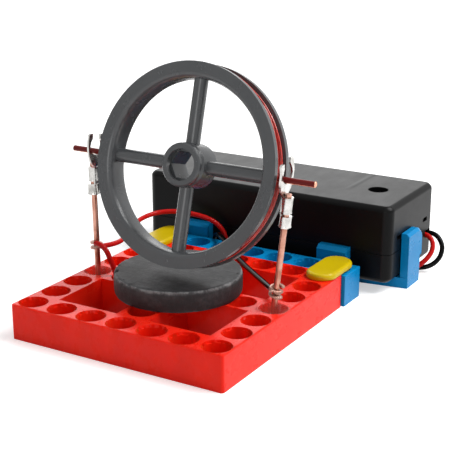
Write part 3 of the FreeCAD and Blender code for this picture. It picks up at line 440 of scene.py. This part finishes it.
def lathe(profile, steps, change=None):
    """A closed profile of radius and height turned about Z; change may move each vertex."""
    mesh = bmesh.new()
    rings = []
    for step in range(steps):
        angle = 2 * math.pi * step / steps
        ring = []
        for radius, height in profile:
            place = Vector((radius * math.cos(angle), radius * math.sin(angle), height))
            if change:
                place = change(place, angle)
            ring.append(mesh.verts.new(place * mm))
        rings.append(ring)
    for step in range(steps):
        here, there = rings[step], rings[(step + 1) % steps]
        for number in range(len(profile)):
            after = (number + 1) % len(profile)
            mesh.faces.new((here[number], there[number], there[after], here[after]))
    return mesh


def move_mesh(mesh, matrix):
    bmesh.ops.transform(mesh, matrix=matrix, verts=mesh.verts)
    return mesh


# The clear plastic is given a painted see-through red: the red of the base below, which a colourless plug
# only lets through.
clear = Finish("clear_plastic", (0.9, 0.16, 0.12), 0.12, IOR=1.4)
haze = clear.noise(400)
clear.set("Alpha", haze * 0.12 + 0.02)
clear.set("Roughness", haze * 0.15 + 0.08)
clear.bump(clear.noise(500, 2), 0.08, 0.0003)
flange = [(flange_radius - flange_edge, 0.0), (flange_radius, flange_edge),
          (flange_radius, flange_height - 0.2), (flange_radius - flange_edge, flange_height)]
dome = [(3.9, 1.05), (3.2, 1.6), (2.6, 2.1), (2.1, 2.3), (1.75, 2.2), (plug_mouth, 1.9)]
bore = [(plug_mouth - 0.05, -1.6), (plug_bore, -1.65)]
plug_profile = [(plug_bore, -stem_length), (stem_radius, -stem_length), (stem_radius, 0.0), *flange,
                *dome, *bore]
for side, x in (("left", -post_offset), ("right", post_offset)):
    plug = move_mesh(lathe(plug_profile, 48), Matrix.Translation(Vector((x, 0, plate_top)) * mm))
    add_piece("clear_plug_" + side, plug, clear.material, "stand", "post_plug_" + side)


# Posts
# Two lengths of hard drawn copper wire, bare and a little tarnished. Each stands in its plug and is
# bent by hand where it leaves it.
def make_copper(name, colour, tarnish):
    copper = Finish(name, colour, 0.3, Metallic=1.0)
    drawn = copper.noise(1, 3, 0.5, copper.stretched(2500, 2500, 90))
    patch = copper.noise(260, 4)
    spots = copper.ramp(patch, (0.4, (0, 0, 0)), (0.7, (1, 1, 1)))
    copper.set("Base Color", copper.blend(spots, colour, tarnish))
    copper.set("Roughness", drawn * 0.3 + 0.15)
    copper.bump(drawn, 0.2, 0.0001)
    return copper.material


copper = make_copper("drawn_copper", (0.56, 0.3, 0.23), (0.34, 0.14, 0.09))
for side in ("left", "right"):
    dress("post_rod_" + side, copper)


# Terminals
# Tin-plated sheet terminals, stamped and rolled, and crimped on the tops of the posts. The axle lies
# in the round seats of their open forks, whose tips are curled back.
axle_z = 47.44
bend_z = 9.6
leans = {"left": math.radians(-1), "right": math.radians(7)}
tine_cuts = (2.0, 2.8, 3.6, 4.3)
sleeve_cuts = (-4.9, -5.4, -8.4, -8.8, -9.9, -10.3, -12.4, -12.8)
tine_foot = 1.6
tine_tip = 5.2
curl_back = 0.8
curl_apart = 0.35
far_rise = 0.9
near_share = 0.55
near_drop = 0.3
crimp_top = -4.45
collar_top = -9.7
sleeve_radius = 1.2
sleeve_shrink = 0.2
seam_depth = 0.35
seam_width = 0.2
collar_shrink = 0.2
collar_lug = 0.3
lug_angle = 0.9
bells = ((-4.4, 0.13, 0.3), (-9.0, 0.13, 0.3), (-13.0, 0.18, 0.4))


def make_tin():
    tin = Finish("tin_plate", (0.5, 0.49, 0.47), 0.28, Metallic=1.0)
    blotch = tin.noise(350, 4)
    tin.set("Base Color", tin.ramp(blotch, (0.3, (0.34, 0.33, 0.31)), (0.7, (0.72, 0.71, 0.69))))
    tin.set("Roughness", blotch * 0.3 + 0.1)
    tin.bump(tin.noise(1500, 3), 0.25, 0.0001)
    return tin.material


def post_frame(side):
    """The leaning part of a post: its Z runs up the post from the bend."""
    x = -post_offset if side == "left" else post_offset
    return Matrix.Translation(Vector((x, 0, bend_z)) * mm) @ Matrix.Rotation(leans[side], 4, "Y")


def smooth_step(low, high, value):
    share = min(1, max(0, (value - low) / (high - low)))
    return share * share * (3 - 2 * share)


def make_terminal(side):
    """A terminal with curled fork tips, rolled crimps with a seam and belled ends."""
    mesh = bmesh.new()
    mesh.from_mesh(nodes["fork_terminal_" + side].data)
    bmesh.ops.remove_doubles(mesh, verts=mesh.verts, dist=1e-6)
    frame_here = post_frame(side)
    if side == "left":
        frame_here = frame_here @ Matrix.Rotation(math.pi, 4, "Z")
    move_mesh(mesh, frame_here.inverted())
    reach = (axle_z - bend_z) / math.cos(leans[side])
    move_mesh(mesh, Matrix.Translation((0, 0, -reach * mm)))
    slice_across(mesh, tine_cuts + sleeve_cuts)
    for vertex in mesh.verts:
        x, y, z = vertex.co / mm
        if z > tine_foot:
            curl = smooth_step(tine_foot, tine_tip, z) * (1.0 if y > 0 else near_share)
            x -= curl * curl_back
            y += math.copysign(curl * curl_apart, y)
            z += curl * (far_rise if y > 0 else -near_drop)
        elif z < crimp_top and math.hypot(x, y) > sleeve_radius:
            angle = math.atan2(y, x)
            radius = math.hypot(x, y)
            radius -= sleeve_shrink + seam_depth * math.exp(-(angle / seam_width) ** 2)
            for end, flare, width in bells:
                radius += flare * math.exp(-((z - end) / width) ** 2)
            if z < collar_top:
                radius += collar_lug * max(0, math.cos(angle - lug_angle)) ** 6 - collar_shrink
            x, y = radius * math.cos(angle), radius * math.sin(angle)
        vertex.co = Vector((x, y, z)) * mm
    move_mesh(mesh, Matrix.Translation((0, 0, reach * mm)))
    move_mesh(mesh, frame_here)
    add_piece("crimped_fork_" + side, mesh, tin_plate, "stand", "fork_terminal_" + side)


tin_plate = make_tin()
for side in ("left", "right"):
    make_terminal(side)


# Wheel
# A grey plastic pulley wheel, moulded in one: a stepped hub with a shaped bore, four round spokes and
# a rim with a deep groove for the winding. It turns with the two axle stubs that are set in it.
grey_plastic = make_moulded("grey_plastic", (0.072, 0.076, 0.08), (0.056, 0.06, 0.064), 0.26)
wheel_x = 3.21
wheel_tilt = math.radians(74.4)
rim_face_radius = 24.76
rim_half_width = 4.0
rim_round = 1.2
wheel_frame = Matrix.Translation(Vector((wheel_x, 0, axle_z)) * mm) @ Matrix.Rotation(wheel_tilt, 4, "X")


def round_edges(mesh, edges, width, segments, clamp=False):
    bmesh.ops.bevel(mesh, geom=edges, offset=width * mm, offset_type="OFFSET", segments=segments,
                    profile=0.5, affect="EDGES", clamp_overlap=clamp)


def round_rim(mesh):
    """The inner edges of the rim, rounded more than the rest."""
    inward = wheel_frame.inverted()
    inner = []
    for edge in mesh.edges:
        ends = [(inward @ vertex.co) / mm for vertex in edge.verts]
        on_face = all(abs(end.z) > rim_half_width - 0.1 for end in ends)
        if on_face and all(abs(math.hypot(end.x, end.y) - rim_face_radius) < 0.1 for end in ends):
            inner.append(edge)
    round_edges(mesh, inner, rim_round, 5, clamp=True)


softened("pulley_wheel", grey_plastic, 0.5, "armature", shape=round_rim)


# Winding
# Fine copper wire with red enamel, wound by hand in the groove. Its loose turns pass the two axle
# stubs on either side.
wire_diameter = 0.36
loop_count = 34
wound_radius = 26.72
least_radius = 26.7
most_radius = 28.25
layer_step = 0.29
loops_in_layer = 8
groove_reach = 2.2
sideways_waves = ((0.35, 3), (0.2, 7))
outward_waves = ((0.16, 5), (0.1, 11))


def make_enamel():
    enamel = Finish("red_enamel", (0.33, 0.018, 0.012), 0.25, Coat_Weight=0.6, Coat_Roughness=0.12)
    patch = enamel.noise(500, 3)
    enamel.set("Base Color", enamel.ramp(patch, (0.3, (0.38, 0.014, 0.01)), (0.7, (0.68, 0.045, 0.025))))
    return enamel.material


def waver(waves, angle, phases):
    """How far a loose wire strays: a sum of waves of given sizes and counts round the wheel."""
    return sum(size * math.sin(count * angle + phase) for (size, count), phase in zip(waves, phases))


def make_strand_loop(chance, beside_start, beside_end, layer):
    """One turn of the winding, which passes the two axle stubs on given sides."""
    phases = [chance.uniform(0, 2 * math.pi) for _ in range(4)]
    route = []
    steps = 64
    for step in range(steps):
        angle = 2 * math.pi * step / steps
        toward = math.cos(angle)
        beside = beside_start if toward > 0 else beside_end
        middle = (beside_start + beside_end) / 2 * 0.55
        rise = middle + (beside - middle) * abs(toward) ** 1.5
        loose = 1 - abs(toward) ** 6
        rise += loose * waver(sideways_waves, angle, phases[:2])
        rise = min(groove_reach, max(-groove_reach, rise))
        radius = wound_radius + layer * layer_step
        radius += loose * waver(outward_waves, angle, phases[2:])
        radius = min(most_radius, max(least_radius, radius))
        place = Vector((radius * math.cos(angle), radius * math.sin(angle), rise)) * mm
        route.append(wheel_frame @ place)
    return route


red_enamel = make_enamel()
dress("coil_core", red_enamel)
chance = random.Random(7)
loops = []
for number in range(loop_count):
    start_side = -1 if number % 2 else 1
    end_side = start_side if number % 5 else -start_side
    sideways = 1.12 + 0.34 * (number // 2 % 4)
    loops.append(make_strand_loop(chance, start_side * sideways, end_side * sideways,
                                  number // loops_in_layer))
winding = make_curve("wound_wire", loops, wire_diameter * mm, red_enamel)
for loop in winding.data.splines:
    loop.use_cyclic_u = True
    loop.use_endpoint_u = False
winding.data.resolution_u = 3
winding.data.bevel_resolution = 2
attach(winding, "armature")
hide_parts("coil_winding")


# Axle stubs
# Two stubs of thick enamelled copper wire, set in line through rim and spokes. The red enamel is
# scraped off one side, so that the current is cut each half turn, and off the sawn ends.
bare_below = 46.95
axle_middle = 2.5
axle_reach = 39.5


def make_stub_finish():
    stub = Finish("half_bare_wire", (0.3, 0.015, 0.01), 0.3, Specular_IOR_Level=0.2)
    ragged = stub.noise(700, 3) * (0.42 * mm) + (bare_below - 0.21) * mm
    underside = (ragged - stub.axis("Z")) > 0
    sawn_end = abs(stub.axis("X") - axle_middle * mm) > axle_reach * mm
    bare = stub.node("Math", {"operation": "MAXIMUM"}, {0: underside, 1: sawn_end})
    stub.set("Base Color", stub.blend(bare, (0.13, 0.004, 0.003), (0.64, 0.31, 0.2)))
    stub.set("Metallic", bare * 0.9)
    return stub.material


half_bare = make_stub_finish()
for side in ("left", "right"):
    dress("axle_stub_" + side, half_bare)


# Magnet
# A thick disc of pressed and sintered ferrite, ground flat, with dusty scratches and chipped edges.
# It lies loose on the base plate's crossing bars.
disc_radius = 18.45
disc_height = 6.3
disc_x = -0.2
disc_y = -1.5
worn_from = 17.1
big_chip_angle = 3.75
big_chip_width = 0.035


def make_ferrite():
    ferrite = Finish("ferrite", (0.05, 0.05, 0.052), 0.6, Specular_IOR_Level=0.3)
    cloud = ferrite.noise(110, 5, 0.6)
    scratch = ferrite.noise(1, 4, 0.7, ferrite.stretched(160, 900, 300))
    fine = ferrite.noise(700, 4, 0.7)
    tone = cloud * 0.5 + scratch * 0.25 + fine * 0.25
    x, y = ferrite.axis("X") - disc_x * mm, ferrite.axis("Y") - disc_y * mm
    rim_from, rim_to = (disc_radius - 0.85) * mm, (disc_radius - 0.35) * mm
    top_from, top_to = (plate_top + disc_height - 1.1) * mm, (plate_top + disc_height - 0.4) * mm
    rim = ferrite.node("MapRange", {}, {0: (x * x + y * y) ** 0.5, 1: rim_from, 2: rim_to})
    top = ferrite.node("MapRange", {}, {0: ferrite.axis("Z"), 1: top_from, 2: top_to})
    worn = rim * top * fine
    ferrite.set("Base Color", ferrite.ramp(tone + worn * 0.55, (0.34, (0.008, 0.008, 0.009)),
                                           (0.5, (0.019, 0.019, 0.02)), (0.66, (0.05, 0.05, 0.052)),
                                           (0.85, (0.17, 0.17, 0.17))))
    ferrite.set("Roughness", 0.75 - tone * 0.35)
    ferrite.bump(ferrite.noise(900, 5, 0.7) * 0.6 + scratch * 0.4, 0.45, 0.0004)
    return ferrite.material


def chip(place, angle):
    """Small chips along the disc's edges, and a worn rim."""
    radius = math.hypot(place.x, place.y)
    if radius < worn_from:
        return place
    wear = noise.noise(Vector((math.cos(angle) * 6, math.sin(angle) * 6, place.z)))
    nick = max(0, noise.noise(Vector((math.cos(angle) * 14, math.sin(angle) * 14, place.z * 2))) - 0.35)
    big = math.exp(-((angle - big_chip_angle) / big_chip_width) ** 2) if place.z > disc_height / 2 else 0
    inward = 0.1 + 0.08 * wear + 1.4 * nick + 0.9 * big
    if place.z > 5 or place.z < 1:
        share = (radius - inward) / radius
        lower = 0.7 * big + 0.6 * nick
        height = place.z - lower if place.z > disc_height / 2 else place.z
        return Vector((place.x * share, place.y * share, height))
    return place


lower_half = [(0.01, 0.0), (12.0, 0.0), (17.7, 0.0), (18.2, 0.2), (18.43, 0.7), (disc_radius, 1.4),
              (disc_radius, 3.0)]
upper_half = [(disc_radius, 4.9), (18.43, 5.6), (18.2, 6.1), (17.8, 6.28), (17.3, disc_height),
              (17.0, disc_height), (12.0, disc_height), (0.01, disc_height)]
disc_profile = lower_half + upper_half
disc = lathe(disc_profile, 200, chip)
move_mesh(disc, Matrix.Translation(Vector((disc_x, disc_y, plate_top)) * mm))
add_piece("ferrite_disc", disc, make_ferrite(), "stand", "magnet_disc")


# Battery box
# A lower shell and a cover, moulded in black plastic with a fine spark texture. They meet at a parting
# line round the box and are held by latches and by a screw in a deep recess of the cover.
box_corner = 3.0
parting_height = nodes["battery_cover"].bound_box[0][2] / mm
crease_x = 22.2
crease_half = 1.4
crease_front = 62.0
crease_full = 68.0
crease_above = 27.5
soft_round = 0.55
parting_round = 0.25


def top_crease(plastic):
    """A low crease that runs back from the middle of the cover's top."""
    from_line = abs(plastic.axis("X") - crease_x * mm)
    ridge = plastic.node("MapRange", {"interpolation_type": "SMOOTHSTEP"},
                         {0: from_line, 1: crease_half * mm, 2: 0.0})
    start = plastic.node("MapRange", {}, {0: plastic.axis("Y"), 1: crease_front * mm, 2: crease_full * mm})
    return ridge * start * (plastic.axis("Z") > crease_above * mm) * 0.7


black_plastic = make_moulded("black_abs", (0.003, 0.003, 0.003), (0.0015, 0.0015, 0.002), 0.36,
                             top_crease, Specular_IOR_Level=0.1)


def finish_shell(mesh):
    """The slanted bevel round a shell turned into a soft round, and the parting edge eased."""
    mesh.normal_update()
    lows = [min(vertex.co[axis] for vertex in mesh.verts) for axis in range(2)]
    highs = [max(vertex.co[axis] for vertex in mesh.verts) for axis in range(2)]
    halves = [(high - low) / 2 for low, high in zip(lows, highs)]
    centre = [(high + low) / 2 for low, high in zip(lows, highs)]
    slanted, parting = [], []
    for edge in mesh.edges:
        if abs(edge.verts[0].co.z - edge.verts[1].co.z) > 0.01 * mm or len(edge.link_faces) != 2:
            continue
        normals = [face.normal for face in edge.link_faces]
        slants = [abs(abs(normal.z) - math.sqrt(0.5)) < 0.03 for normal in normals]
        if slants[0] != slants[1]:
            slanted.append(edge)
        normals.sort(key=lambda normal: abs(normal.z))
        wall, ledge = normals
        if abs(wall.z) > 0.1 or abs(ledge.z) < 0.9:
            continue
        middle = (edge.verts[0].co + edge.verts[1].co) / 2
        reach = sum(abs(wall[axis]) * (halves[axis] - box_corner * mm) for axis in range(2))
        out = sum(wall[axis] * (middle[axis] - centre[axis]) for axis in range(2))
        if out > reach + (box_corner - 0.1) * mm and abs(middle.z - parting_height * mm) < 0.05 * mm:
            parting.append(edge)
    round_edges(mesh, slanted, soft_round, 3)
    parting = [edge for edge in parting if edge.is_valid]
    round_edges(mesh, parting, parting_round, 2)


softened("battery_case", black_plastic, 0.3, "stand", shape=finish_shell)
softened("battery_cover", black_plastic, 0.3, "cover", shape=finish_shell)
dress("cover_screw", tin_plate)


# Cells and contacts
# Two dry cells in plain grey jackets, side by side in the left part of the box, between bent
# plates and wound springs with a bright plating.
def make_jacket():
    jacket = Finish("cell_jacket", (0.3, 0.34, 0.36), 0.3, Metallic=0.4)
    grain = jacket.noise(900, 3)
    jacket.set("Base Color", jacket.ramp(grain, (0.3, (0.26, 0.3, 0.32)), (0.7, (0.36, 0.4, 0.42))))
    jacket.set("Roughness", grain * 0.2 + 0.2)
    return jacket.material


jacket = make_jacket()
for cell in ("aa_cell_1", "aa_cell_2"):
    dress(cell, jacket)
for contact in ("bridge", "positive", "negative", "spring_1", "spring_2"):
    dress("contact_" + contact, tin_plate)


# Bare strands
# The last of each lead is stripped of its vinyl, and its fine copper wires are twisted and wound
# round the post by hand.
wrap_radius = 1.55
wrap_steps = 24
strand_diameter = 0.34
strand_pitch = 4.5
outer_strands = 6
twist_step = 0.2


def wrap_line(side, last, way, turns, start):
    """The middle line of strands that leave a lead, wind round a post and end beside it."""
    frame_here = post_frame(side)
    local = frame_here.inverted() @ (Vector(last) * mm) / mm
    radius = wrap_radius
    distance = math.hypot(local.x, local.y)
    plan = math.sqrt(distance * distance - radius * radius)
    angle = math.atan2(local.y, local.x) + way * math.acos(radius / distance)
    slope = (start - local.z) / plan

    def spot(turned):
        at = angle + way * turned
        return Vector((radius * math.cos(at), radius * math.sin(at), start + slope * radius * turned))

    def heading(turned):
        at = angle + way * turned
        return Vector((-way * math.sin(at), way * math.cos(at), slope)).normalized()

    line = [spot(0) - heading(0) * (plan * 0.25 * share) for share in (1.12, 0.9, 0.6, 0.3)]
    count = round(turns * wrap_steps)
    line += [spot(2 * math.pi * number / wrap_steps) for number in range(count + 1)]
    last_turn = 2 * math.pi * turns
    line += [spot(last_turn) + heading(last_turn) * length for length in (0.5, 1.1)]
    return [frame_here @ (place * mm) for place in line]


def make_twist(name, line, instead):
    """Fine wires twisted about a line, with one more in their middle."""
    dense = []
    for first, second in zip(line, line[1:]):
        pieces = max(1, round((second - first).length / (twist_step * mm)))
        dense += [first.lerp(second, number / pieces) for number in range(pieces)]
    dense.append(line[-1])
    routes = [[] for _ in range(outer_strands + 1)]
    across = (dense[1] - dense[0]).normalized().orthogonal()
    travelled = 0.0
    for number, place in enumerate(dense):
        before, after = dense[max(0, number - 1)], dense[min(len(dense) - 1, number + 1)]
        along = (after - before).normalized()
        across = (across - along * across.dot(along)).normalized()
        over = along.cross(across)
        travelled += (place - before).length
        for wire, route in enumerate(routes):
            turned = 2 * math.pi * (wire / outer_strands + travelled / (strand_pitch * mm))
            reach = strand_diameter * mm if wire < outer_strands else 0
            route.append(place + (across * math.cos(turned) + over * math.sin(turned)) * reach)
    strands = make_curve(name, routes, strand_diameter * mm, strand_copper)
    strands.data.resolution_u = 2
    strands.data.bevel_resolution = 2
    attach(strands, "stand")
    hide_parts(instead)
    return strands


strand_copper = make_copper("strand_copper", (0.55, 0.36, 0.3), (0.32, 0.17, 0.13))
right_line = wrap_line("right", black_route[-2], -1, 2, 4.3)
left_line = wrap_line("left", red_route[-2], 1, 1.25, 8.0)
right_twist = make_twist("twisted_strands_right", right_line, "strand_wrap_right")
left_twist = make_twist("twisted_strands_left", left_line, "strand_wrap_left")


# All pieces
# Their round faces are shaded round.
for name in nodes:
    for face in nodes[name].data.polygons:
        face.use_smooth = True
    nodes[name].data.set_sharp_from_angle(angle=math.radians(35))

bpy.context.view_layer.update()
